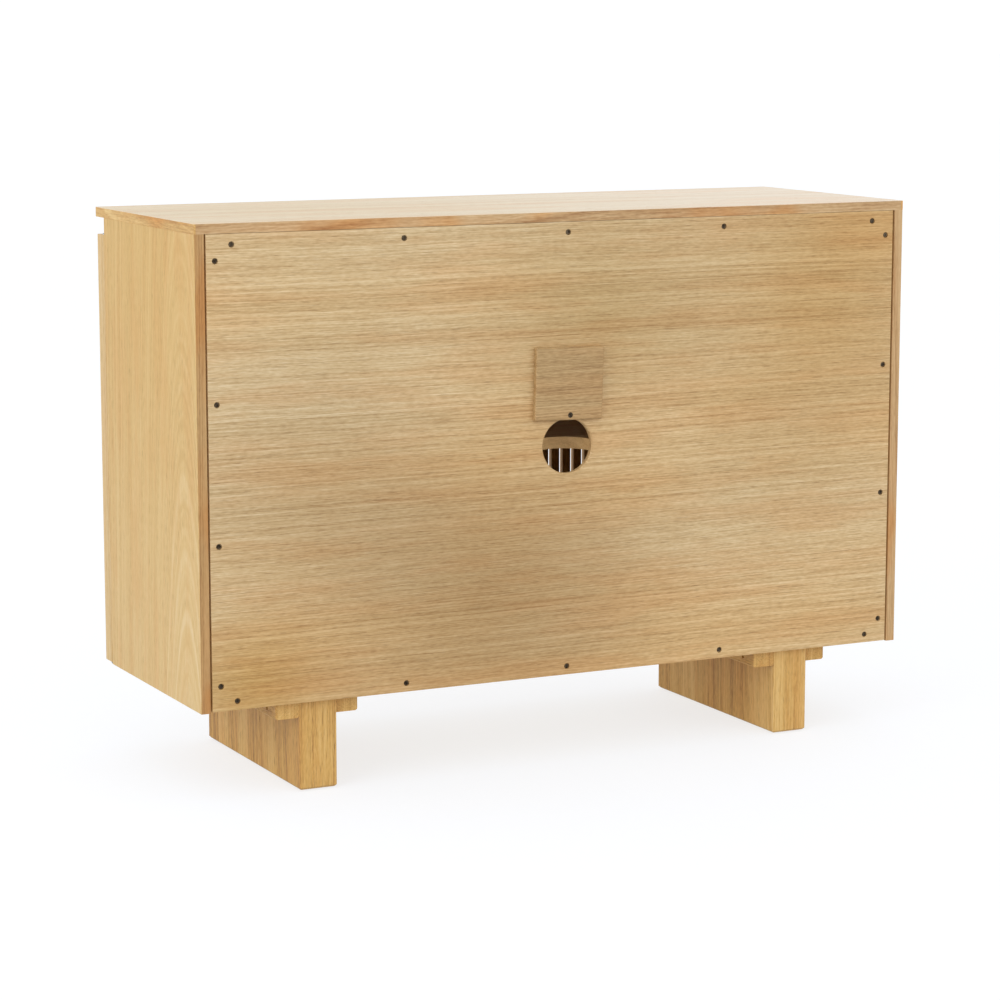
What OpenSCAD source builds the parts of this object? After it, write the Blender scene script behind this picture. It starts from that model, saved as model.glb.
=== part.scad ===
// Media cabinet: a veneered oak carcass on two slab feet, with two slatted doors at the front
// and a screwed back panel that has a cable port and a swivelling port cover.
// Millimetres, +Z up, front faces -Y, origin on the floor under the middle of the outline.

/* [Carcass] */
// overall width
cabinet_w = 1200; // [1100:10:1300]
// depth of the top panel, front to back
cabinet_d = 424; // [410:2:440]
// height of the carcass above the feet
carcass_h = 713; // [680:1:750]
// thickness of the top and side boards
board_t = 15; // [15:0.5:17]
// thickness of the bottom panel
bottom_t = 28; // [24:1:32]
// thickness of the solid edge lipping
lipping_t = 3; // [2.5:0.5:4]
// thickness of the face veneer on the top and sides
veneer_t = 0.6; // [0.6:0.1:1]
// how far the top stands out past the side panels at the front
top_overhang = 36.5; // [34:0.5:40]
// easing of the board edges
edge_ease = 0.6; // [0.3:0.1:1]

/* [Back] */
// thickness of the back panel
back_t = 9; // [8:0.5:12]
// gap from the back panel to each side panel
back_gap = 3; // [1:0.5:4]
// width of the rear posts and of the two top rails
rail_w = 32; // [30:1:36]
// depth of the rear posts and of the two top rails
rail_t = 20; // [18:1:24]
// radius of the cable port
port_r = 42; // [35:1:45]
// height of the port centre above the carcass underside
port_h = 357; // [340:0.5:365]
// width of the port cover
cover_w = 114.5; // [100:0.5:130]
// height of the port cover
cover_h = 111; // [100:1:130]
// thickness of the port cover
cover_t = 9; // [8:0.5:12]
// distance from the cover pivot down to the cover's lower edge
cover_foot = 7.6; // [7:0.1:12]
// how far the cover's middle lies to the +X side of its pivot
cover_off = 2.5; // [0:0.5:4]
// how far the cover hangs out of plumb at rest, in degrees
cover_tilt = 1.5; // [0:0.5:3]

/* [Shelf] */
// thickness of the shelf
shelf_t = 18; // [16:1:24]
// height of the shelf top above the carcass underside
shelf_h = 364; // [350:1:375]
// how far the shelf front is set back from the side front
shelf_setback = 22; // [22:1:40]

/* [Doors] */
// thickness of the door frame
door_t = 30; // [28:1:32]
// gap between the door back and the side front
door_gap = 2.5; // [2.5:0.1:3]
// height of the finger gap above the doors
finger_gap = 26.5; // [22:0.5:30]
// height of the door bottom above the carcass underside
door_lift = 2.5; // [2.5:0.5:4]
// width of the door stiles and rails
stile_w = 48; // [44:1:52]
// number of slats in each door
slat_n = 24; // [20:1:26]
// width of a slat
slat_w = 14.5; // [11:0.5:15]
// thickness of a slat
slat_t = 11; // [7:0.5:12]

/* [Feet] */
// height of the feet, glides included
foot_h = 137; // [110:1:160]
// thickness of a foot slab
slab_t = 60; // [55:1:65]
// length of a foot slab, front to back
slab_l = 375; // [365:1:375]
// distance of each foot centre from the middle
foot_x = 410.7; // [380:1:430]
// width of a fixing cleat
cleat_w = 38; // [34:1:44]
// thickness of a fixing cleat
cleat_t = 24; // [22:1:28]

/* [Hidden] */
cut = 1;
slip = 0.1;
round_fn = 32;
port_fn = 96;
cover_gap = 0.3;
rear_y = (cabinet_d - cover_gap - cover_t) / 2;
front_y = rear_y - cabinet_d;
half_w = cabinet_w / 2;
base_z = foot_h;
roof_z = foot_h + carcass_h;
under_z = roof_z - board_t;
inner_x = half_w - board_t;
side_front = front_y + top_overhang;
side_d = rear_y - side_front;
side_h = carcass_h - board_t;
core_t = board_t - veneer_t;
veneer_bevel = veneer_t * 0.8;
back_in = rear_y - back_t;
back_low = 1.5;
back_high = 0.5;
post_in = back_in - rail_t;
floor_z = base_z + bottom_t;
rail_z = under_z - rail_w;
rail_mid_z = under_z - rail_w / 2;
bottom_mid_z = base_z + bottom_t / 2;

dowel_r = 4;
dowel_sink = 10;
dowel_ys = [-140, 0, 140];
post_dowel_zs = [base_z + 165, base_z + 545];
small_dowel_r = 3;
small_dowel_z = under_z - 7;

port_z = base_z + port_h;
port_ease = 2;
pivot_lift = 6.4;
pivot_z = port_z + port_r + pivot_lift;
cover_ease = 1.5;
pivot_r = 2.2;
pivot_run = 0.05;
pivot_head_r = 4.25;
pivot_head_h = 2.4;
pivot_sink = 3.2;
pivot_screw_l = 22.2;
washer_r = 4;
nut_r = 3.9;
nut_h = 3.2;

cross_l = 0.6;
cross_w = 0.1;
screw_r = 2;
head_r = 3.4;
head_h = 2.2;
head_sink = 1.2;
head_room = 1.2;
back_screw_l = 26;
row_xs = [for (i = [-2:2]) i * (cabinet_w - 114) / 4];
row_zs = [bottom_mid_z + 0.5, under_z - 16];
column_x = half_w - 31.5;
column_zs = [for (i = [0:3]) base_z + 38.5 + i * (carcass_h - 92.5) / 3];
back_spots = concat(
    [for (x = row_xs, z = row_zs) [x, z]],
    [for (s = [-1, 1], z = column_zs) [s * column_x, z]]
);

shelf_top = base_z + shelf_h;
shelf_z = shelf_top - shelf_t;
shelf_play = 0.5;
shelf_front = side_front + shelf_setback;
shelf_back = back_in - shelf_play;
peg_r = 2.5;
peg_l = 18;
peg_low_x = inner_x + 1 - peg_l / 2;
peg_ys = [-110, 140];

door_back = side_front - door_gap;
door_front = door_back - door_t;
door_z = base_z + door_lift;
door_top = under_z - finger_gap;
door_h = door_top - door_z;
door_in = 1.5;
door_out = half_w - 0.5;
door_ease = 1;
hinge_ease = 2;
bay_x = door_in + stile_w;
bay_w = door_out - door_in - 2 * stile_w;
bay_h = door_h - 2 * stile_w;
slat_gap = (bay_w - slat_n * slat_w) / (slat_n + 1);
slat_y = door_back - (door_t + slat_t) / 2;
slat_sink = 8;
slat_ease = 0.8;
tenon_l = 24;
tenon_t = 10;
tenon_in = 8;

axis_in = 6;
axis_x = door_out - axis_in;
axis_y = door_back - axis_in;
pin_r = 2.5;
pin_reach = 15;
run = 0.05;
bush_r = 4;
bush_l = 16;
bush_room = 1;
flange_r = 5.2;
flange_t = 0.8;
plate_t = 1.6;
plate_half = 5;
plate_h = 40;
plate_screw_r = 1.5;
plate_head_r = 3;
plate_head_t = 1;
plate_head_run = 0.05;
plate_screw_l = 16;
tongue_low = base_z;
tongue_high = door_top + flange_t + slip;
plate_high = tongue_high + plate_t - plate_h;
plate_screw_zs = [
    tongue_low + 13,
    tongue_low + 31,
    plate_high + 9,
    plate_high + 27
];

catch_x = 6;
catch_w = 48;
catch_h = 14;
catch_z = rail_z - catch_h;
catch_front = side_front - 0.8;
catch_d = 19.5;
catch_ease = 1;
magnet_x = catch_x + 13;
magnet_w = 22;
magnet_mid_x = magnet_x + magnet_w / 2;
magnet_d = 6.5;
magnet_h = 8;
magnet_z = catch_z + 3;
magnet_proud = 0.5;
catch_screw_xs = [catch_x + 6, catch_x + catch_w - 6];
catch_screw_y = catch_front + catch_d / 2 + 2;
catch_screw_sink = 6;
catch_screw_l = 20;
catch_head_r = 3;
catch_head_h = 2;
strike_t = 1;
strike_over = 1;
strike_in = 2;
strike_ease = 0.2;
bumper_in = 10;
bumper_r = 4;
bumper_t = 2.4;

glide_t = 2;
glide_r = 14;
slab_rear = rear_y - 13.4;
slab_front = slab_rear - slab_l;
slab_mid = slab_rear - slab_l / 2;
slab_ease = 3;
cleat_ease = 2.5;
cleat_z = base_z - cleat_t;
cleat_mid_z = base_z - cleat_t / 2;
cleat_back_off = 9;
side_screw_ys = [slab_rear - 33, slab_mid, slab_front + 33];
up_screw_ys = [slab_mid - 110, slab_mid + 110];
side_screw_r = 1.8;
side_head_r = 3;
side_head_h = 2;
side_head_sink = 12;
side_screw_l = 48;
up_head_sink = 4;
up_screw_l = 38;
glide_ys = [slab_front + 30, slab_rear - 30];

oak = [0.80, 0.68, 0.50];
oak_back = [0.70, 0.60, 0.46];
oak_edge = [0.66, 0.46, 0.28];
oak_foot = [0.78, 0.60, 0.38];
pine = [0.84, 0.73, 0.54];
beech = [0.82, 0.66, 0.47];
steel = [0.62, 0.62, 0.64];
dark_steel = [0.20, 0.19, 0.18];
nylon = [0.90, 0.90, 0.87];
felt = [0.36, 0.34, 0.32];
magnet_grey = [0.28, 0.28, 0.30];

// a rectangle with its four corners eased
module eased(w, h, c) {
    polygon([[c, 0], [w - c, 0], [w, c], [w, h - c], [w - c, h], [c, h], [0, h - c], [0, c]]);
}

// a bar along X, from corner p, of size s, with its four long edges eased
module bar_x(p, s, c) {
    translate(p)
        rotate([90, 0, 90])
            linear_extrude(s[0])
                eased(s[1], s[2], c);
}

// the same along Y
module bar_y(p, s, c) {
    translate([p[0], p[1] + s[1], p[2]])
        rotate([90, 0, 0])
            linear_extrude(s[1])
                eased(s[0], s[2], c);
}

// the same along Z
module bar_z(p, s, c) {
    translate(p)
        linear_extrude(s[2])
            eased(s[0], s[1], c);
}

// a sheet lying on z = 0, centred, with its upper edges bevelled
module skin(l, w) {
    hull() {
        translate([-l / 2, -w / 2, 0])
            cube([l, w, veneer_t - veneer_bevel]);
        translate([-l / 2 + veneer_bevel, -w / 2 + veneer_bevel, 0])
            cube([l - 2 * veneer_bevel, w - 2 * veneer_bevel, veneer_t]);
    }
}

// a plain block from corner p
module block(p, s) {
    translate(p)
        cube(s);
}

// a rod from point p, of length l, along +X, +Y or +Z
module rod_x(p, l, r) {
    translate(p)
        rotate([0, 90, 0])
            cylinder(h = l, r = r, $fn = round_fn);
}

module rod_y(p, l, r) {
    translate([p[0], p[1] + l, p[2]])
        rotate([90, 0, 0])
            cylinder(h = l, r = r, $fn = round_fn);
}

module rod_z(p, l, r) {
    translate(p)
        cylinder(h = l, r = r, $fn = round_fn);
}

// a screw standing on its head at z = 0, with the cross recess facing down
module screw(hr, hh, sr, l) {
    long = hr * cross_l;
    wide = hr * cross_w;
    deep = cut + hh * cross_l;
    difference() {
        union() {
            cylinder(h = hh, r = hr, $fn = round_fn);
            cylinder(h = l, r = sr, $fn = round_fn);
        }
        block([-long, -wide, -cut], [2 * long, 2 * wide, deep]);
        block([-wide, -long, -cut], [2 * wide, 2 * long, deep]);
    }
}

// dowels across the joints of the carcass
module dowels() {
    for (s = [-1, 1]) {
        for (y = dowel_ys) {
            rod_z([s * (half_w - board_t / 2), y, under_z - 2 * dowel_sink], 3 * dowel_sink, dowel_r);
            rod_x([s * inner_x - dowel_sink, y, bottom_mid_z], 2 * dowel_sink, dowel_r);
        }
        rod_x([s * inner_x - dowel_sink, side_front + rail_t / 2, rail_mid_z], 2 * dowel_sink, dowel_r);
        for (z = post_dowel_zs)
            rod_x([s * inner_x - dowel_sink, back_in - rail_t / 2, z], 2 * dowel_sink, dowel_r);
        rod_x(
            [s * (inner_x - rail_w) - dowel_sink, back_in - rail_t / 2, small_dowel_z],
            2 * dowel_sink,
            small_dowel_r
        );
    }
}

// shelf pegs
module pegs() {
    for (x = [peg_low_x, -peg_low_x - peg_l], y = peg_ys)
        rod_x([x, y, shelf_z - peg_r], peg_l, peg_r);
}

// shafts of the back panel screws
module back_shafts(r) {
    for (b = back_spots)
        rod_y([b[0], rear_y - head_sink - back_screw_l, b[1]], back_screw_l, r);
}

// shafts of the cleat screws, for a foot centred on x
module side_shafts(x) {
    for (y = side_screw_ys) {
        rod_x([x + slab_t / 2 + cleat_w - side_head_sink - side_screw_l, y, cleat_mid_z],
            side_screw_l, side_screw_r);
        rod_x([x - slab_t / 2 - cleat_w + side_head_sink, y, cleat_mid_z],
            side_screw_l, side_screw_r);
    }
}

module up_shafts(x) {
    for (y = up_screw_ys, s = [-1, 1])
        rod_z([x + s * (slab_t + cleat_w) / 2, y, cleat_z + up_head_sink], up_screw_l, screw_r);
}

// shafts of the hinge plate screws on the +X side
module plate_shafts() {
    for (z = plate_screw_zs)
        rod_y([axis_x, side_front, z], plate_screw_l, plate_screw_r);
}

// the recesses for both hinge plates in the front edge of the +X side
module plate_recess(y_slack) {
    for (z = [tongue_low, plate_high])
        block([axis_x - plate_half, side_front - y_slack, z], [2 * plate_half, plate_t + y_slack, plate_h]);
}

module catch_shafts() {
    for (s = [-1, 1], x = catch_screw_xs)
        rod_z([s * x, catch_screw_y, catch_z + catch_screw_sink], catch_screw_l, plate_screw_r);
}

module top_panel() {
    color(oak)
        difference() {
            block(
                [-half_w + lipping_t, front_y + lipping_t, under_z],
                [cabinet_w - 2 * lipping_t, cabinet_d - 2 * lipping_t, core_t]
            );
            dowels();
        }
}

module top_lipping() {
    color(oak_edge) {
        for (y = [front_y, rear_y - lipping_t])
            block([-half_w, y, under_z], [cabinet_w, lipping_t, core_t]);
        for (x = [-half_w, half_w - lipping_t])
            block([x, front_y + lipping_t, under_z], [lipping_t, cabinet_d - 2 * lipping_t, core_t]);
    }
}

module top_veneer() {
    color(oak)
        translate([0, (front_y + rear_y) / 2, roof_z - veneer_t])
            skin(cabinet_w, cabinet_d);
}

// the +X side panel without its lipping and veneer
module side_panel_shape() {
    difference() {
        block(
            [inner_x, side_front + lipping_t, base_z],
            [core_t, side_d - 2 * lipping_t, side_h]
        );
        dowels();
        pegs();
        plate_shafts();
    }
}

module side_lipping_shape() {
    difference() {
        union() {
            block([inner_x, side_front, base_z], [core_t, lipping_t, side_h]);
            block([inner_x, rear_y - lipping_t, base_z], [core_t, lipping_t, side_h]);
        }
        plate_recess(cut);
        plate_shafts();
    }
}

module side_veneer_shape() {
    translate([half_w - veneer_t, (side_front + rear_y) / 2, base_z + side_h / 2])
        rotate([0, 90, 0])
            skin(side_h, side_d);
}

module side_panel_right() {
    color(oak)
        side_panel_shape();
}

module side_panel_left() {
    color(oak)
        mirror([1, 0, 0])
            side_panel_shape();
}

module side_lipping_right() {
    color(oak_edge)
        side_lipping_shape();
}

module side_lipping_left() {
    color(oak_edge)
        mirror([1, 0, 0])
            side_lipping_shape();
}

module side_veneer_right() {
    color(oak)
        side_veneer_shape();
}

module side_veneer_left() {
    color(oak)
        mirror([1, 0, 0])
            side_veneer_shape();
}

module bottom_panel() {
    color(oak)
        difference() {
            bar_x(
                [-inner_x, side_front, base_z],
                [2 * inner_x, back_in - side_front, bottom_t],
                edge_ease
            );
            dowels();
            back_shafts(screw_r);
            up_shafts(foot_x);
            up_shafts(-foot_x);
        }
}

module back_panel() {
    color(oak_back)
        difference() {
            bar_z(
                [-inner_x + back_gap, back_in, base_z + back_low],
                [2 * (inner_x - back_gap), back_t, side_h - back_low - back_high],
                edge_ease
            );
            translate([0, rear_y + cut, port_z])
                rotate([90, 0, 0])
                    cylinder(h = back_t + 2 * cut, r = port_r, $fn = port_fn);
            translate([0, rear_y, port_z])
                rotate([90, 0, 0])
                    cylinder(h = port_ease, r1 = port_r + port_ease, r2 = port_r, $fn = port_fn);
            back_shafts(screw_r);
            for (b = back_spots)
                rod_y(
                    [b[0], rear_y - head_sink - head_h, b[1]],
                    head_h + head_sink + cut,
                    head_r + head_room
                );
            rod_y([0, back_in - cut, pivot_z], back_t + 2 * cut, pivot_r);
        }
}

module front_top_rail() {
    color(oak)
        difference() {
            bar_x([-inner_x, side_front, rail_z], [2 * inner_x, rail_t, rail_w], edge_ease);
            dowels();
            catch_shafts();
        }
}

module rear_top_rail() {
    color(pine)
        difference() {
            block([-inner_x + rail_w, post_in, rail_z], [2 * (inner_x - rail_w), rail_t, rail_w]);
            dowels();
            back_shafts(screw_r);
        }
}

module rear_post_shape() {
    difference() {
        block([inner_x - rail_w, post_in, floor_z], [rail_w, rail_t, under_z - floor_z]);
        dowels();
        back_shafts(screw_r);
    }
}

module rear_post_right() {
    color(pine)
        rear_post_shape();
}

module rear_post_left() {
    color(pine)
        mirror([1, 0, 0])
            rear_post_shape();
}

module carcass_dowels() {
    color(beech)
        dowels();
}

module back_panel_screws() {
    color(dark_steel)
        for (b = back_spots)
            translate([b[0], rear_y - head_sink, b[1]])
                rotate([90, 0, 0])
                    screw(head_r, head_h, screw_r, back_screw_l);
}

module shelf() {
    color(oak)
        difference() {
            bar_x(
                [-inner_x + shelf_play, shelf_front, shelf_z],
                [2 * (inner_x - shelf_play), shelf_back - shelf_front, shelf_t],
                edge_ease
            );
            for (s = [-1, 1])
                block(
                    [s * (inner_x - rail_w / 2) - rail_w / 2 - shelf_play, post_in - shelf_play, shelf_z - cut],
                    [rail_w + 2 * shelf_play, rail_t + 2 * shelf_play, shelf_t + 2 * cut]
                );
            translate([0, shelf_back, shelf_z - cut])
                cylinder(h = shelf_t + 2 * cut, r = port_r, $fn = port_fn);
        }
}

module shelf_pegs() {
    color(steel)
        pegs();
}

// the cover stands on its pivot, at the origin, with its inner face on y = 0
module port_cover() {
    low = [cover_off - cover_w / 2, 0, -cover_foot];
    inset = [cover_ease, 0, cover_ease];
    color(oak_back)
        translate([0, rear_y + cover_gap, pivot_z])
            rotate([0, -cover_tilt, 0])
                difference() {
                    hull() {
                        bar_y(low, [cover_w, cover_t - cover_ease, cover_h], edge_ease);
                        bar_y(low + inset, [cover_w, cover_t, cover_h] - 2 * inset, edge_ease);
                    }
                    rod_y([0, -cut, 0], cover_t + 2 * cut, pivot_r + pivot_run);
                    rod_y([0, cover_t - pivot_sink, 0], pivot_sink + cut, pivot_head_r + slip);
                }
}

module port_cover_screw() {
    color(dark_steel)
        translate([0, rear_y + cover_gap + cover_t - pivot_sink + pivot_head_h, pivot_z])
            rotate([90, 0, 0])
                screw(pivot_head_r, pivot_head_h, pivot_r, pivot_screw_l);
}

module port_cover_washer() {
    color(felt)
        difference() {
            rod_y([0, rear_y, pivot_z], cover_gap, washer_r);
            rod_y([0, rear_y - cut, pivot_z], cover_gap + 2 * cut, pivot_r);
        }
}

module port_cover_nut() {
    color(steel)
        difference() {
            translate([0, back_in, pivot_z])
                rotate([90, 0, 0])
                    cylinder(h = nut_h, r = nut_r, $fn = 6);
            rod_y([0, back_in - nut_h - cut, pivot_z], nut_h + 2 * cut, pivot_r);
        }
}

// one foot slab, centred on x
module foot_slab_shape(x) {
    low = [x - slab_t / 2, slab_front, glide_t];
    size = [slab_t, slab_l, base_z - glide_t];
    difference() {
        intersection() {
            bar_z(low, size, edge_ease);
            bar_x(low, size + [0, 0, slab_ease], slab_ease);
            bar_y(low, size + [0, 0, slab_ease], slab_ease);
        }
        side_shafts(x);
    }
}

// a cleat on side s of the foot centred on x, running between two depths
module foot_cleat_shape(x, s, y0, y1) {
    mid = x + s * (slab_t + cleat_w) / 2;
    head_low = s > 0 ? cleat_w / 2 - side_head_sink : -cleat_w / 2 - cut;
    difference() {
        bar_y([mid - cleat_w / 2, y0, cleat_z], [cleat_w, y1 - y0, cleat_t], cleat_ease);
        side_shafts(x);
        up_shafts(x);
        for (y = side_screw_ys)
            rod_x([mid + head_low, y, cleat_mid_z], side_head_sink + cut, side_head_r + slip);
        for (y = up_screw_ys)
            rod_z([mid, y, cleat_z - cut], up_head_sink + cut, head_r + slip);
    }
}

module foot_slab_right() {
    color(oak_foot)
        foot_slab_shape(foot_x);
}

module foot_slab_left() {
    color(oak_foot)
        foot_slab_shape(-foot_x);
}

module foot_cleat_right_outer() {
    color(oak_foot)
        foot_cleat_shape(foot_x, 1, slab_front + cleat_back_off, slab_rear);
}

module foot_cleat_right_inner() {
    color(oak_foot)
        foot_cleat_shape(foot_x, -1, slab_front + cleat_back_off, slab_rear - cleat_back_off);
}

module foot_cleat_left_outer() {
    color(oak_foot)
        foot_cleat_shape(-foot_x, -1, slab_front + cleat_back_off, slab_rear - cleat_back_off);
}

module foot_cleat_left_inner() {
    color(oak_foot)
        foot_cleat_shape(-foot_x, 1, slab_front + cleat_back_off, slab_rear);
}

module cleat_side_screws() {
    color(dark_steel)
        for (x = [-foot_x, foot_x], s = [-1, 1], y = side_screw_ys)
            translate([x + s * (slab_t / 2 + cleat_w - side_head_sink + side_head_h), y, cleat_mid_z])
                rotate([0, -90 * s, 0])
                    screw(side_head_r, side_head_h, side_screw_r, side_screw_l + side_head_h);
}

module cleat_up_screws() {
    color(dark_steel)
        for (x = [-foot_x, foot_x], s = [-1, 1], y = up_screw_ys)
            translate([x + s * (slab_t + cleat_w) / 2, y, cleat_z + up_head_sink - head_h])
                screw(head_r, head_h, screw_r, up_screw_l + head_h);
}

module foot_glides() {
    color(felt)
        for (x = [-foot_x, foot_x], y = glide_ys)
            rod_z([x, y, 0], glide_t, glide_r);
}

// tenon hole or tenon at a rail end: x and z give its low corner, grown by g all round
module tenon(x, z, l, g) {
    block(
        [x, door_back - (door_t + tenon_t) / 2 - g, z + tenon_in - g],
        [l, tenon_t + 2 * g, stile_w - 2 * tenon_in + 2 * g]
    );
}

module hinge_stile_shape() {
    x = door_out - stile_w;
    difference() {
        translate([0, 0, door_z])
            linear_extrude(door_h)
                polygon([
                    [x, door_front + door_ease], [x + door_ease, door_front],
                    [door_out - door_ease, door_front], [door_out, door_front + door_ease],
                    [door_out, door_back - hinge_ease], [door_out - hinge_ease, door_back],
                    [x + door_ease, door_back], [x, door_back - door_ease]
                ]);
        for (z = [door_z, door_top - stile_w])
            tenon(x - cut, z, tenon_l + cut + slip, slip);
        rod_z([axis_x, axis_y, door_z - cut], bush_l + bush_room + cut, bush_r);
        rod_z([axis_x, axis_y, door_top - bush_l - bush_room], bush_l + bush_room + cut, bush_r);
    }
}

module meeting_stile_shape() {
    difference() {
        bar_z([door_in, door_front, door_z], [stile_w, door_t, door_h], door_ease);
        for (z = [door_z, door_top - stile_w])
            tenon(bay_x - tenon_l - slip, z, tenon_l + cut + slip, slip);
    }
}

// a door rail whose slat sockets open at height z, running down or up by the socket depth
module door_rail_shape(rail_low, socket_low) {
    difference() {
        union() {
            bar_x([bay_x, door_front, rail_low], [bay_w, door_t, stile_w], door_ease);
            tenon(bay_x - tenon_l, rail_low, tenon_l + cut, 0);
            tenon(bay_x + bay_w - cut, rail_low, tenon_l + cut, 0);
        }
        for (i = [0:slat_n - 1])
            block(
                [bay_x + slat_gap + i * (slat_w + slat_gap) - slip, slat_y - slip, socket_low],
                [slat_w + 2 * slip, slat_t + 2 * slip, slat_sink + cut]
            );
    }
}

module slats_shape() {
    for (i = [0:slat_n - 1])
        bar_z(
            [bay_x + slat_gap + i * (slat_w + slat_gap), slat_y, door_z + stile_w - slat_sink + slip],
            [slat_w, slat_t, bay_h + 2 * (slat_sink - slip)],
            slat_ease
        );
}

module bushes_shape() {
    difference() {
        union() {
            rod_z([axis_x, axis_y, door_z], bush_l, bush_r);
            rod_z([axis_x, axis_y, door_z - flange_t], flange_t, flange_r);
            rod_z([axis_x, axis_y, door_top - bush_l], bush_l, bush_r);
            rod_z([axis_x, axis_y, door_top], flange_t, flange_r);
        }
        rod_z([axis_x, axis_y, door_z - flange_t - cut], bush_l + flange_t + 2 * cut, pin_r + run);
        rod_z([axis_x, axis_y, door_top - bush_l - cut], bush_l + flange_t + 2 * cut, pin_r + run);
    }
}

module strike_shape() {
    bar_x(
        [magnet_x - strike_over, door_back, catch_z + strike_in],
        [magnet_w + 2 * strike_over, strike_t, catch_h - 2 * strike_in],
        strike_ease
    );
}

module bumper_shape() {
    rod_y([door_in + bumper_in, door_back, bottom_mid_z], bumper_t, bumper_r);
}

// both hinge plates of the +X side: a flange let into the side and a tongue over the door end
module plates_shape() {
    difference() {
        union() {
            plate_recess(0);
            for (z = [tongue_low, tongue_high]) {
                block([axis_x - plate_half, axis_y, z], [2 * plate_half, side_front + plate_t - axis_y, plate_t]);
                rod_z([axis_x, axis_y, z], plate_t, plate_half);
            }
        }
        plate_shafts();
        for (z = plate_screw_zs)
            rod_y([axis_x, side_front - cut, z], plate_head_t + cut, plate_head_r + plate_head_run);
        for (z = [tongue_low, tongue_high])
            rod_z([axis_x, axis_y, z - cut], plate_t + 2 * cut, pin_r);
    }
}

module pins_shape() {
    rod_z([axis_x, axis_y, tongue_low], door_lift + pin_reach, pin_r);
    rod_z([axis_x, axis_y, door_top - pin_reach], tongue_high + plate_t - door_top + pin_reach, pin_r);
}

module plate_screws_shape() {
    for (z = plate_screw_zs)
        translate([axis_x, side_front, z])
            rotate([-90, 0, 0])
                screw(plate_head_r, plate_head_t, plate_screw_r, plate_screw_l);
}

module right_hinge_stile() {
    color(oak)
        hinge_stile_shape();
}

module right_meeting_stile() {
    color(oak)
        meeting_stile_shape();
}

module right_door_top_rail() {
    color(oak)
        door_rail_shape(door_top - stile_w, door_top - stile_w - cut);
}

module right_door_bottom_rail() {
    color(oak)
        door_rail_shape(door_z, door_z + stile_w - slat_sink);
}

module right_door_slats() {
    color(oak)
        slats_shape();
}

module right_hinge_bushes() {
    color(nylon)
        bushes_shape();
}

module right_strike_plate() {
    color(steel)
        strike_shape();
}

module right_door_bumper() {
    color(felt)
        bumper_shape();
}

module left_hinge_stile() {
    color(oak)
        mirror([1, 0, 0])
            hinge_stile_shape();
}

module left_meeting_stile() {
    color(oak)
        mirror([1, 0, 0])
            meeting_stile_shape();
}

module left_door_top_rail() {
    color(oak)
        mirror([1, 0, 0])
            door_rail_shape(door_top - stile_w, door_top - stile_w - cut);
}

module left_door_bottom_rail() {
    color(oak)
        mirror([1, 0, 0])
            door_rail_shape(door_z, door_z + stile_w - slat_sink);
}

module left_door_slats() {
    color(oak)
        mirror([1, 0, 0])
            slats_shape();
}

module left_hinge_bushes() {
    color(nylon)
        mirror([1, 0, 0])
            bushes_shape();
}

module left_strike_plate() {
    color(steel)
        mirror([1, 0, 0])
            strike_shape();
}

module left_door_bumper() {
    color(felt)
        mirror([1, 0, 0])
            bumper_shape();
}

module right_hinge_plates() {
    color(steel)
        plates_shape();
}

module right_hinge_pins() {
    color(steel)
        pins_shape();
}

module right_hinge_screws() {
    color(dark_steel)
        plate_screws_shape();
}

module left_hinge_plates() {
    color(steel)
        mirror([1, 0, 0])
            plates_shape();
}

module left_hinge_pins() {
    color(steel)
        mirror([1, 0, 0])
            pins_shape();
}

module left_hinge_screws() {
    color(dark_steel)
        mirror([1, 0, 0])
            plate_screws_shape();
}

module catch_housings() {
    color(nylon)
        difference() {
            for (x = [catch_x, -catch_x - catch_w])
                bar_x([x, catch_front, catch_z], [catch_w, catch_d, catch_h], catch_ease);
            for (s = [-1, 1])
                block(
                    [s * magnet_mid_x - magnet_w / 2, catch_front - cut, magnet_z],
                    [magnet_w, magnet_d + cut - magnet_proud, magnet_h]
                );
            catch_shafts();
            for (s = [-1, 1], x = catch_screw_xs)
                rod_z([s * x, catch_screw_y, catch_z - cut], catch_screw_sink + cut, catch_head_r + slip);
        }
}

module catch_magnets() {
    color(magnet_grey)
        for (s = [-1, 1])
            block(
                [s * magnet_mid_x - magnet_w / 2, catch_front - magnet_proud, magnet_z],
                [magnet_w, magnet_d, magnet_h]
            );
}

module catch_screws() {
    color(dark_steel)
        for (s = [-1, 1], x = catch_screw_xs)
            translate([s * x, catch_screw_y, catch_z + catch_screw_sink - catch_head_h])
                screw(catch_head_r, catch_head_h, plate_screw_r, catch_head_h + catch_screw_l);
}

top_panel();
top_lipping();
top_veneer();
side_panel_right();
side_panel_left();
side_lipping_right();
side_lipping_left();
side_veneer_right();
side_veneer_left();
bottom_panel();
back_panel();
front_top_rail();
rear_top_rail();
rear_post_right();
rear_post_left();
carcass_dowels();
back_panel_screws();
shelf();
shelf_pegs();
port_cover();
port_cover_screw();
port_cover_washer();
port_cover_nut();
foot_slab_right();
foot_slab_left();
foot_cleat_right_outer();
foot_cleat_right_inner();
foot_cleat_left_outer();
foot_cleat_left_inner();
cleat_side_screws();
cleat_up_screws();
foot_glides();
right_hinge_stile();
right_meeting_stile();
right_door_top_rail();
right_door_bottom_rail();
right_door_slats();
right_hinge_bushes();
right_strike_plate();
right_door_bumper();
left_hinge_stile();
left_meeting_stile();
left_door_top_rail();
left_door_bottom_rail();
left_door_slats();
left_hinge_bushes();
left_strike_plate();
left_door_bumper();
right_hinge_plates();
right_hinge_pins();
right_hinge_screws();
left_hinge_plates();
left_hinge_pins();
left_hinge_screws();
catch_housings();
catch_magnets();
catch_screws();
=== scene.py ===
"""A light oak media cabinet, seen from behind: materials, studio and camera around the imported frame."""
import math

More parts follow.
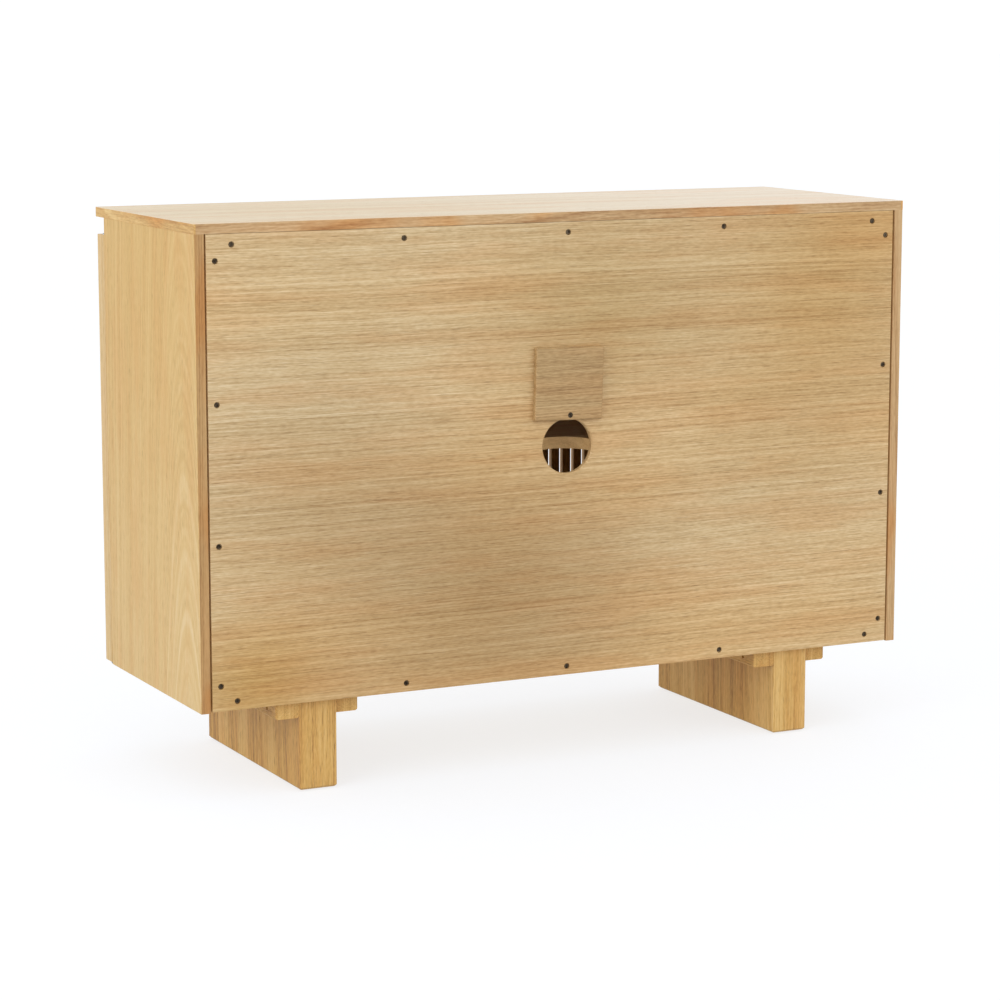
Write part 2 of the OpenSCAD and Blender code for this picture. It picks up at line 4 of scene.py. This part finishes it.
import bpy
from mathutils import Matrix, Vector


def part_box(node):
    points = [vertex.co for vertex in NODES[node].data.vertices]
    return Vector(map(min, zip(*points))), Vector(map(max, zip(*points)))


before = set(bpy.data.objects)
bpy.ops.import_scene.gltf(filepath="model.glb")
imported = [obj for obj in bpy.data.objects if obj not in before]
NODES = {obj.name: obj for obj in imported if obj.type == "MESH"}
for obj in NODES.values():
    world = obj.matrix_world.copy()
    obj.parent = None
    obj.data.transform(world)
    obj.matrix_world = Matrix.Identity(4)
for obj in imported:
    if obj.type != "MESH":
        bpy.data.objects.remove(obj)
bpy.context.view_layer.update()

SCENE = bpy.context.scene
X, Y, Z = 0, 1, 2

# ---------------------------------------------------------------- camera

CAMERA_AT = (2.143, 4.297, 1.156)
CAMERA_YAW = math.radians(26.377)
CAMERA_PITCH = math.radians(9.174)
SENSOR_MM = 36.0
LENS_MM = 110.26


def make_camera():
    data = bpy.data.cameras.new("camera")
    data.sensor_width = SENSOR_MM
    data.lens = LENS_MM
    data.clip_end = 200.0
    camera = bpy.data.objects.new("camera", data)
    camera.location = CAMERA_AT
    camera.rotation_euler = (math.pi / 2 - CAMERA_PITCH, 0.0, math.pi - CAMERA_YAW)
    SCENE.collection.objects.link(camera)
    SCENE.camera = camera


# ---------------------------------------------------------------- node helpers


def linear(red, green, blue):
    """An 8-bit display colour as linear light."""
    def one(value):
        value /= 255.0
        return value / 12.92 if value <= 0.04045 else ((value + 0.055) / 1.055) ** 2.4
    return (one(red), one(green), one(blue), 1.0)


class Tree:
    """A material's node tree, with short calls for the nodes used here."""

    def __init__(self, name):
        self.material = bpy.data.materials.new(name)
        self.material.use_nodes = True
        self.tree = self.material.node_tree
        self.tree.nodes.clear()
        self.shader = self.new("ShaderNodeBsdfPrincipled")
        output = self.new("ShaderNodeOutputMaterial")
        self.tree.links.new(self.shader.outputs["BSDF"], output.inputs["Surface"])

    def new(self, kind):
        return self.tree.nodes.new(kind)

    def feed(self, socket, value):
        """Sets a socket, or links it when the value is another socket."""
        if isinstance(value, bpy.types.NodeSocket):
            self.tree.links.new(value, socket)
        else:
            socket.default_value = value

    def math(self, operation, first, second=0.0, clamp=False):
        node = self.new("ShaderNodeMath")
        node.operation = operation
        node.use_clamp = clamp
        self.feed(node.inputs[0], first)
        self.feed(node.inputs[1], second)
        return node.outputs[0]

    def position(self):
        """X, Y and Z in the cabinet's own frame, in metres."""
        place = self.new("ShaderNodeTexCoord").outputs["Object"]
        split = self.new("ShaderNodeSeparateXYZ")
        self.feed(split.inputs[0], place)
        return split.outputs[0], split.outputs[1], split.outputs[2]

    def vector(self, x, y, z):
        node = self.new("ShaderNodeCombineXYZ")
        for socket, value in zip(node.inputs, (x, y, z)):
            self.feed(socket, value)
        return node.outputs[0]

    def noise(self, vector, scale, detail=2.0, rough=0.5):
        node = self.new("ShaderNodeTexNoise")
        node.noise_dimensions = "3D"
        self.feed(node.inputs["Vector"], vector)
        node.inputs["Scale"].default_value = scale
        node.inputs["Detail"].default_value = detail
        node.inputs["Roughness"].default_value = rough
        return node.outputs["Fac"]

    def lines(self, w, scale, detail=2.0, rough=0.5):
        """Noise along one number: bands of uneven width."""
        node = self.new("ShaderNodeTexNoise")
        node.noise_dimensions = "1D"
        self.feed(node.inputs["W"], w)
        node.inputs["Scale"].default_value = scale
        node.inputs["Detail"].default_value = detail
        node.inputs["Roughness"].default_value = rough
        return node.outputs["Fac"]

    def white(self, w):
        node = self.new("ShaderNodeTexWhiteNoise")
        node.noise_dimensions = "1D"
        self.feed(node.inputs["W"], w)
        return node.outputs["Value"]

    def remap(self, value, low, high, new_low=0.0, new_high=1.0):
        node = self.new("ShaderNodeMapRange")
        node.interpolation_type = "SMOOTHSTEP"
        self.feed(node.inputs["Value"], value)
        for name, number in zip(("From Min", "From Max", "To Min", "To Max"), (low, high, new_low, new_high)):
            node.inputs[name].default_value = number
        return node.outputs["Result"]

    def blend(self, factor, first, second, kind="MIX"):
        node = self.new("ShaderNodeMix")
        node.data_type = "RGBA"
        node.blend_type = kind
        self.feed(node.inputs["Factor"], factor)
        self.feed(node.inputs[6], first)
        self.feed(node.inputs[7], second)
        return node.outputs[2]

    def ramp(self, factor, stops):
        node = self.new("ShaderNodeValToRGB")
        self.feed(node.inputs["Fac"], factor)
        elements = node.color_ramp.elements
        while len(elements) < len(stops):
            elements.new(0.5)
        for element, (place, colour) in zip(elements, stops):
            element.position = place
            element.color = colour
        return node.outputs["Color"]

    def bump(self, height, distance, strength):
        node = self.new("ShaderNodeBump")
        node.inputs["Strength"].default_value = strength
        node.inputs["Distance"].default_value = distance
        self.feed(node.inputs["Height"], height)
        self.feed(self.shader.inputs["Normal"], node.outputs["Normal"])

    def set(self, **values):
        names = {"colour": "Base Color", "rough": "Roughness", "metal": "Metallic", "ior": "IOR"}
        for key, value in values.items():
            self.feed(self.shader.inputs[names[key]], value)


# ---------------------------------------------------------------- wood

FLUSH = linear(252, 236, 222)
PORE = linear(112, 76, 44)
# where the figure has the deep, the middle and the pale tone
TONE_STOPS = (0.12, 0.5, 0.88)

# how many of each lie side by side in a metre
WIDE_BANDS = 22.0
RINGS = 125.0
FINE_LINES = 640.0
FLECKS = 430.0
PORES = 1000.0


def wood(
    name, grain, across, tones, heart=(-0.9, -0.25), tilt=0.02, wobble=0.004, bands=1.0, contrast=1.0,
    weights=(0.4, 0.6, 0.7, 0.9, 0.4), fibres=360.0, pores=0.3, rough=0.5, seed=0.0,
    staves=None, stave_tone=0.0, turn=None, ends=None, warm=None, tone_and_painted_light_clouds=(),
):
    """Oak, cut from a solid: growth rings round the heart, fibres and pores along the grain.

    grain and across are axis numbers: the way the grain runs, and the way across it on the widest face.
    tones are the pale, middle and deep colours.
    heart is where the middle of the tree lies, across and through the board, in metres.
    weights are the shares of wide bands, rings, fine lines, fibres and short flecks in the figure.
    staves is (axis number, first edge, width): each stave or slat then has its own grain and tone.
    turn is (axis number, limit, other axis): past that limit the grain runs along the other axis.
    ends are the tones of the pieces past the turn, when they differ.
    fibres is how many fibre bundles lie side by side in a metre.
    warm is (colour, patches in a metre): patches that lean towards a colour.
    the clouds, each (place along, place across, half length, half width, colour), are broad and soft and
    multiply the colour: tone that varies over a board, and on the top a painted highlight.
    """
    t = Tree(name)
    xyz = list(t.position())
    through = 3 - grain - across
    along, side, depth = xyz[grain], xyz[across], xyz[through]
    clouds = [
        t.math(
            "SQRT",
            t.math(
                "ADD",
                t.math("POWER", t.math("DIVIDE", t.math("SUBTRACT", along, middle_along), half_length), 2.0),
                t.math("POWER", t.math("DIVIDE", t.math("SUBTRACT", side, middle_side), half_width), 2.0),
            ),
        )
        for middle_along, middle_side, half_length, half_width, _ in tone_and_painted_light_clouds
    ]
    if turn is not None:
        axis, limit, other = turn
        past = t.math("GREATER_THAN", t.math("ABSOLUTE", xyz[axis]), limit)
        swap = t.new("ShaderNodeMix")
        swap.data_type = "VECTOR"
        t.feed(swap.inputs["Factor"], past)
        t.feed(swap.inputs[4], t.vector(along, side, depth))
        t.feed(swap.inputs[5], t.vector(xyz[other], side, xyz[grain]))
        split = t.new("ShaderNodeSeparateXYZ")
        t.feed(split.inputs[0], swap.outputs[1])
        along, side, depth = split.outputs
    if staves is not None:
        axis, edge, width = staves
        cell = t.math("FLOOR", t.math("DIVIDE", t.math("SUBTRACT", xyz[axis], edge), width))
        cell = t.math("ADD", cell, seed * 17.0 + 0.5)
        tone = t.white(cell)
        along = t.math("ADD", along, t.math("MULTIPLY", cell, 1.93))
        side = t.math("ADD", side, t.math("MULTIPLY", cell, 0.377))
        depth = t.math("ADD", depth, t.math("MULTIPLY", t.white(t.math("ADD", cell, 50.0)), 0.08))
    along = t.math("ADD", along, seed * 3.1)

    def drawn_out(share):
        """The place, with the distances along the grain shortened, so that a pattern comes out long."""
        return t.vector(t.math("MULTIPLY", along, share), side, depth)

    # distance from the heart, which wanders slowly along the grain
    drift = t.math("SUBTRACT", t.noise(drawn_out(0.30), 3.1, 2.0), 0.5)
    ripple = t.math("SUBTRACT", t.noise(drawn_out(0.5), 14.0, 2.0), 0.5)
    off_side = t.math("SUBTRACT", side, heart[0])
    off_depth = t.math("ADD", t.math("SUBTRACT", depth, heart[1]), t.math("MULTIPLY", along, tilt))
    radius = t.math(
        "SQRT",
        t.math("ADD", t.math("MULTIPLY", off_side, off_side), t.math("MULTIPLY", off_depth, off_depth)),
    )
    radius = t.math("ADD", radius, t.math("MULTIPLY", drift, wobble * 4.0))
    radius = t.math("ADD", radius, t.math("MULTIPLY", ripple, wobble * 0.45))
    radius = t.math("ADD", radius, seed * 0.731)
    wide = t.lines(radius, WIDE_BANDS * bands, 2.0, 0.45)
    rings = t.lines(radius, RINGS * bands, 3.0, 0.6)
    fine = t.lines(radius, FINE_LINES * bands, 2.0, 0.6)

    # fibres and pores: thin, long and broken
    fibre = t.noise(drawn_out(0.035), fibres, 4.0, 0.65)
    flecks = t.noise(drawn_out(0.22), FLECKS, 1.0, 0.5)
    pore_field = t.noise(drawn_out(0.05), PORES, 1.0, 0.5)
    early = t.remap(rings, 0.40, 0.62, 1.0, 0.25)
    pore = t.math("MULTIPLY", t.remap(pore_field, 0.57, 0.70), early)

    # the figure picks the tone at each place
    figure = 0.0
    for layer, weight in zip((wide, rings, fine, fibre, flecks), weights):
        figure = t.math("ADD", figure, t.math("MULTIPLY", t.math("SUBTRACT", layer, 0.5), weight * contrast))
    if staves is not None:
        figure = t.math("ADD", figure, t.math("MULTIPLY", t.math("SUBTRACT", tone, 0.5), stave_tone))
    figure = t.math("ADD", figure, 0.5, clamp=True)
    colour = t.ramp(figure, list(zip(TONE_STOPS, reversed(tones))))
    if ends is not None:
        colour = t.blend(past, colour, t.ramp(figure, list(zip(TONE_STOPS, reversed(ends)))))
    flush = t.noise(drawn_out(0.12), 30.0, 3.0, 0.6)
    colour = t.blend(t.remap(flush, 0.42, 0.68, 0.0, 0.55), colour, FLUSH, "MULTIPLY")
    if warm is not None:
        tint, patches = warm
        patch = t.noise(drawn_out(0.4), patches, 2.0, 0.5)
        colour = t.blend(t.remap(patch, 0.46, 0.66, 0.0, 0.8), colour, tint, "MULTIPLY")
    # the clouds multiply the colour: tone that varies over a board, and on the top a painted highlight,
    # darker towards +X
    for distance, (_, _, _, _, tint) in zip(clouds, tone_and_painted_light_clouds):
        colour = t.blend(t.remap(distance, 1.0, 0.0), colour, tint, "MULTIPLY")
    colour = t.blend(t.math("MULTIPLY", pore, pores), colour, PORE)

    # rougher, and a little sunken, at the pores and between the fibres
    pitted = t.math("ADD", t.math("MULTIPLY", pore, 0.2), rough - 0.08)
    t.set(colour=colour, rough=t.math("ADD", t.math("MULTIPLY", fibre, 0.16), pitted), ior=1.46)
    height = t.math("SUBTRACT", t.math("MULTIPLY", fibre, 0.5), t.math("MULTIPLY", pore, 0.9))
    height = t.math("ADD", height, t.math("MULTIPLY", fine, 0.25))
    t.bump(height, 0.0003, 0.45)
    return t.material


# ---------------------------------------------------------------- metal, plastic and felt


def steel(name, base, dark, rough, brush=(1.0, 1.0, 0.06)):
    """Plated or blackened steel with fine drawn lines and a blotchy film."""
    t = Tree(name)
    x, y, z = t.position()
    stretched = t.vector(*(t.math("MULTIPLY", c, s) for c, s in zip((x, y, z), brush)))
    drawn = t.noise(stretched, 2600.0, 2.0, 0.6)
    film = t.noise(t.vector(x, y, z), 160.0, 3.0, 0.6)
    t.set(
        colour=t.blend(t.remap(film, 0.3, 0.7), base, dark),
        rough=t.math("ADD", t.math("MULTIPLY", drawn, 0.2), rough - 0.1),
        metal=1.0,
    )
    t.bump(drawn, 0.00004, 0.4)
    return t.material


def plastic(name, base, shade, rough):
    """Moulded plastic: faint flow marks and a fine texture."""
    t = Tree(name)
    place = t.vector(*t.position())
    flow = t.noise(place, 90.0, 3.0, 0.6)
    grit = t.noise(place, 2400.0, 2.0, 0.6)
    t.set(
        colour=t.blend(t.remap(flow, 0.3, 0.7), base, shade),
        rough=t.math("ADD", t.math("MULTIPLY", grit, 0.2), rough - 0.1),
    )
    t.bump(grit, 0.00005, 0.4)
    return t.material


def felt(name, base, shade):
    """Pressed wool: matted fibres in two tones."""
    t = Tree(name)
    place = t.vector(*t.position())
    mat = t.noise(place, 520.0, 4.0, 0.7)
    hairs = t.noise(place, 2600.0, 2.0, 0.7)
    t.set(colour=t.blend(t.remap(hairs, 0.3, 0.7), base, shade), rough=0.95)
    t.bump(t.math("ADD", mat, hairs), 0.0004, 0.7)
    return t.material


# ---------------------------------------------------------------- colours

# the pale, middle and deep tones of each wood; the top's also hold painted sheen and the shelf's painted
# shade
OAK = (linear(236, 212, 168), linear(222, 188, 130), linear(200, 158, 98))
BACK = (linear(238, 216, 176), linear(216, 188, 141), linear(184, 150, 101))
COVER = (linear(204, 172, 124), linear(182, 149, 100), linear(152, 118, 74))
# the shelf's tones are darker than the oak: painted shade of the closed compartment round it
SHELF_SHADED = (linear(232, 196, 141), linear(214, 174, 117), linear(186, 144, 91))
# the top's tones are paler and greyer than the side oak: partly its own tone, partly painted sheen of the
# grazing reflection on it
TOP_WITH_SHEEN = (linear(250, 242, 227), linear(243, 228, 206), linear(228, 205, 175))
SIDE = (linear(238, 212, 164), linear(225, 191, 129), linear(204, 162, 100))
RIM = (linear(220, 188, 142), linear(196, 158, 110), linear(162, 118, 72))
RIM_ENDS = (linear(238, 205, 140), linear(217, 176, 108), linear(186, 138, 74))
LIPPING = {
    "right": (linear(208, 170, 116), linear(188, 148, 94), linear(158, 114, 68)),
    "left": (linear(224, 190, 142), linear(206, 168, 118), linear(180, 136, 86)),
}
FOOT = (linear(232, 192, 122), linear(215, 169, 93), linear(176, 127, 68))
PINE = (linear(238, 216, 172), linear(226, 196, 146), linear(202, 160, 104))
YELLOW_TINT = linear(255, 240, 216)
ORANGE_TINT = linear(252, 222, 182)

# the staves of the feet, a door's slats, and the end pieces of the top's lipping, in metres
STAVE_WIDTH = 0.0417
SLATS = 24
SLAT_GAP = 0.0062
RIM_END_THICK = 0.003

# soft clouds: place along, place across, half length, half width, colour
BACK_STAINS = (
    (0.13, 0.28, 0.46, 0.34, linear(216, 206, 190)),
    (0.42, 0.45, 0.34, 0.24, linear(235, 231, 225)),
    (-0.36, 0.45, 0.30, 0.20, linear(246, 244, 239)),
    (-0.05, 0.70, 0.32, 0.24, linear(230, 221, 200)),
    (0.52, 0.17, 0.20, 0.16, linear(236, 218, 178)),
    (-0.46, 0.72, 0.40, 0.34, linear(236, 222, 194)),
    (0.36, 0.70, 0.34, 0.22, linear(246, 250, 255)),
)
# painted highlight: this cloud darkens the top towards its +X end, so that the -X end reads lighter, as a
# softbox highlight would make it
TOP_PAINTED_HIGHLIGHT = ((0.45, 0.0, 1.1, 0.9, linear(240, 235, 219)),)
SIDE_STAINS = ((0.85, 0.0, 0.75, 0.60, linear(250, 243, 222)),)


# ---------------------------------------------------------------- dressing the nodes


def centre(node):
    """The middle of a node's box."""
    low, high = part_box(node)
    return (low + high) / 2


def span(node, axis):
    """Where a node's box starts and ends along an axis."""
    low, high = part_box(node)
    return low[axis], high[axis]


def dress(node, material):
    """Puts a material on every slot of a CAD node."""
    for slot in NODES[node].material_slots:
        slot.link = "OBJECT"
        slot.material = material


def dress_carcass():
    # the top's pale tones carry painted sheen, and its cloud is a painted highlight
    top = wood("oak_top", X, Y, TOP_WITH_SHEEN, seed=0.3, contrast=0.8, rough=0.45, tone_and_painted_light_clouds=TOP_PAINTED_HIGHLIGHT)
    dress("top_veneer", top)
    dress("top_panel", top)
    rim_end = span("top_lipping", X)[1] - RIM_END_THICK
    dress("top_lipping", wood(
        "oak_top_lipping", X, Z, RIM, seed=1.1, heart=(0.80, 0.0), tilt=0.01,
        contrast=1.3, turn=(X, rim_end, Y), ends=RIM_ENDS, warm=(ORANGE_TINT, 16.0),
    ))
    for k, side in enumerate(("right", "left")):
        face = wood(
            f"oak_side_{side}", Z, Y, SIDE, seed=2.0 + k, tilt=0.04, wobble=0.003,
            heart=(0.15, math.copysign(0.57, centre(f"side_panel_{side}")[X])), contrast=0.7,
            weights=(0.3, 0.5, 0.9, 1.0, 0.4), tone_and_painted_light_clouds=SIDE_STAINS,
        )
        dress(f"side_veneer_{side}", face)
        dress(f"side_panel_{side}", face)
        dress(f"side_lipping_{side}", wood(
            f"oak_side_lipping_{side}", Z, X, LIPPING[side], seed=4.0 + k, heart=(-0.2, -0.1), contrast=0.8,
            warm=(ORANGE_TINT, 14.0),
        ))
        dress(f"rear_post_{side}", wood(f"pine_post_{side}", Z, X, PINE, seed=6.0 + k, pores=0.1))
    dress("bottom_panel", wood("oak_bottom", X, Y, OAK, seed=8.2, contrast=0.7))
    dress("back_panel", wood(
        "oak_back_panel", X, Z, BACK, seed=9.4, heart=(-0.4, -0.3), tilt=0.006,
        bands=1.8, weights=(0.3, 0.6, 0.9, 1.0, 0.5), fibres=420.0, warm=(YELLOW_TINT, 2.3),
        tone_and_painted_light_clouds=BACK_STAINS,
    ))
    # the shelf's darker tones are painted shade of the dim compartment
    dress("shelf", wood("oak_shelf", X, Y, SHELF_SHADED, seed=10.7, contrast=0.7, rough=0.7))
    dress("front_top_rail", wood("oak_front_rail", X, Z, OAK, seed=11.3))
    dress("rear_top_rail", wood("pine_rear_rail", X, Z, PINE, seed=12.1, pores=0.1))
    dress("port_cover", wood(
        "oak_port_cover", X, Z, COVER, seed=13.8, heart=(-0.2, -0.3), tilt=0.006,
        weights=(0.3, 0.5, 1.0, 1.3, 0.6),
    ))
    dress("carcass_dowels", wood("beech_dowels", X, Z, PINE, seed=14.2, pores=0.2))


def dress_feet():
    for k, side in enumerate(("right", "left")):
        low, _ = span(f"foot_slab_{side}", Y)
        dress(f"foot_slab_{side}", wood(
            f"oak_slab_{side}", Z, X, FOOT, seed=20.0 + k, heart=(-0.05, -0.06), tilt=0.05, bands=1.2,
            contrast=1.1, pores=0.5, rough=0.48, staves=(Y, low, STAVE_WIDTH), stave_tone=0.38,
        ))
        for j, place in enumerate(("outer", "inner")):
            dress(f"foot_cleat_{side}_{place}", wood(
                f"oak_cleat_{side}_{place}", Y, Z, FOOT, seed=24.0 + 2 * k + j,
                heart=(0.09, centre(f"foot_cleat_{side}_{place}")[X] + 0.02), pores=0.5, rough=0.48,
            ))


def dress_doors():
    for k, side in enumerate(("right", "left")):
        for j, name in enumerate(("hinge_stile", "meeting_stile")):
            dress(f"{side}_{name}", wood(
                f"oak_{side}_{name}", Z, X, OAK, seed=30.0 + 4 * k + j, tilt=0.008,
                wobble=0.0015, heart=(centre(f"{side}_{name}")[X] + 0.16, -0.12), contrast=0.8,
            ))
        for j, name in enumerate(("top_rail", "bottom_rail")):
            dress(f"{side}_door_{name}", wood(
                f"oak_{side}_door_{name}", X, Z, OAK, seed=32.0 + 4 * k + j, tilt=0.008,
                wobble=0.0015, heart=(centre(f"{side}_door_{name}")[Z] - 0.16, -0.12), contrast=0.8,
            ))
        low, high = span(f"{side}_door_slats", X)
        pitch = (high - low + SLAT_GAP) / SLATS
        dress(f"{side}_door_slats", wood(
            f"oak_{side}_slats", Z, X, OAK, seed=38.0 + k, heart=(-0.06, -0.3), tilt=0.04,
            staves=(X, low - SLAT_GAP / 2, pitch), stave_tone=0.5,
        ))


def dress_fittings():
    black = steel("black_screw_steel", linear(108, 94, 76), linear(56, 46, 36), 0.32)
    zinc = steel("zinc_hinge_steel", linear(206, 206, 202), linear(176, 178, 180), 0.32)
    nylon = plastic("white_nylon", linear(232, 232, 226), linear(218, 216, 208), 0.5)
    grey = felt("grey_felt", linear(104, 98, 92), linear(74, 70, 66))
    magnet = steel("dark_magnet", linear(92, 92, 96), linear(70, 70, 74), 0.5)
    by_material = {
        black: ["back_panel_screws", "port_cover_screw", "cleat_side_screws", "cleat_up_screws",
                "catch_screws", "right_hinge_screws", "left_hinge_screws"],
        zinc: ["shelf_pegs", "port_cover_nut", "right_strike_plate", "left_strike_plate",
               "right_hinge_plates", "left_hinge_plates", "right_hinge_pins", "left_hinge_pins"],
        nylon: ["right_hinge_bushes", "left_hinge_bushes", "catch_housings"],
        grey: ["port_cover_washer", "foot_glides", "right_door_bumper", "left_door_bumper"],
        magnet: ["catch_magnets"],
    }
    for material, names in by_material.items():
        for name in names:
            dress(name, material)


# ---------------------------------------------------------------- studio

WORLD_LIGHT = 0.90
BACKDROP = 1.05
FLOOR_GLOW = 0.725
FLOOR_BOUNCE = 0.34


def lit_for_camera(tree, light, seen):
    """A strength that the scene is lit with, and another that the camera sees."""
    level = tree.nodes.new("ShaderNodeMapRange")
    level.inputs["To Min"].default_value = light
    level.inputs["To Max"].default_value = seen
    tree.links.new(tree.nodes.new("ShaderNodeLightPath").outputs["Is Camera Ray"], level.inputs["Value"])
    return level.outputs["Result"]


def make_floor():
    half = 60.0
    corners = [(-half, -half, 0), (half, -half, 0), (half, half, 0), (-half, half, 0)]
    mesh = bpy.data.meshes.new("floor")
    mesh.from_pydata(corners, [], [(0, 1, 2, 3)])
    floor = bpy.data.objects.new("floor", mesh)
    SCENE.collection.objects.link(floor)
    t = Tree("studio_floor")
    speck = t.noise(t.vector(*t.position()), 40.0, 3.0, 0.6)
    t.set(colour=t.blend(speck, linear(141, 146, 155), linear(136, 141, 150)), rough=0.95)
    t.shader.inputs["Emission Color"].default_value = (1.0, 1.0, 1.0, 1.0)
    t.feed(t.shader.inputs["Emission Strength"], lit_for_camera(t.tree, FLOOR_BOUNCE, FLOOR_GLOW))
    mesh.materials.append(t.material)


def area_light(name, at, size, power, target=(0.0, 0.0, 0.45)):
    data = bpy.data.lights.new(name, "AREA")
    data.shape = "SQUARE"
    data.size = size
    data.energy = power
    light = bpy.data.objects.new(name, data)
    light.location = at
    light.rotation_euler = (Vector(target) - Vector(at)).to_track_quat("-Z", "Y").to_euler()
    SCENE.collection.objects.link(light)


def make_studio():
    world = bpy.data.worlds.new("studio")
    SCENE.world = world
    world.use_nodes = True
    background = world.node_tree.nodes["Background"]
    background.inputs["Color"].default_value = (1.0, 1.0, 1.0, 1.0)
    level = lit_for_camera(world.node_tree, WORLD_LIGHT, BACKDROP)
    world.node_tree.links.new(level, background.inputs["Strength"])
    area_light("key", (3.8, 2.0, 2.0), 2.4, 44.0)
    area_light("rear_fill", (-2.4, 4.2, 1.8), 2.6, 26.0)
    area_light("front_fill", (3.2, -3.6, 2.2), 2.6, 8.0)
    SCENE.view_settings.view_transform = "Standard"


make_camera()
make_studio()
make_floor()
dress_carcass()
dress_feet()
dress_doors()
dress_fittings()
